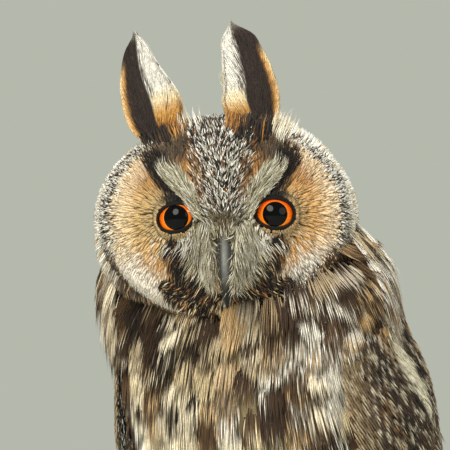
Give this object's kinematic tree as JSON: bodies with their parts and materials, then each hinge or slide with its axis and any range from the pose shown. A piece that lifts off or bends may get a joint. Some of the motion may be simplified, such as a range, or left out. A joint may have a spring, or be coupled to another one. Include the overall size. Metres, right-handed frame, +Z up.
{
  "type": "long-eared owl",
  "caption": "Life-size long-eared owl with raised ear tufts and orange eyes, perched upright on a cut branch on a wooden display stand.",
  "frame": {"origin": "centre of the wooden base's underside", "axes": "+Z up from the base, -Y the way the body faces, +X towards the owl's left wing; the head is turned towards +X"},
  "size_m": [0.158, 0.172, 0.4179],
  "materials": {
    "plumage": "soft barred and streaked feathers",
    "tuft": "soft feathers",
    "eye": "wet and glossy",
    "bill": "smooth horn",
    "claw": "smooth horn",
    "toe": "short dense feathers",
    "bark": "rough bark with sawn ends",
    "base_wood": "satin",
    "steel": "satin"
  },
  "bodies": {
    "root": {"head": "plumage", "neck": "plumage", "torso": "plumage", "ear_tuft_left": "tuft", "ear_tuft_right": "tuft", "eye_left": "eye", "eye_right": "eye", "bill_upper": "bill", "bill_lower": "bill", "wing_left": "plumage", "wing_right": "plumage", "tail": "plumage", "leg_left": "plumage", "leg_right": "plumage", "foot_left": "toe", "foot_right": "toe", "claw_left_inner_front": "claw", "claw_left_outer_front": "claw", "claw_left_hind": "claw", "claw_left_outer_hind": "claw", "claw_right_inner_front": "claw", "claw_right_outer_front": "claw", "claw_right_hind": "claw", "claw_right_outer_hind": "claw", "stand_perch": "bark", "stand_base": "base_wood", "stand_rod_left": "steel", "stand_rod_right": "steel"}
  },
  "joints": []
}
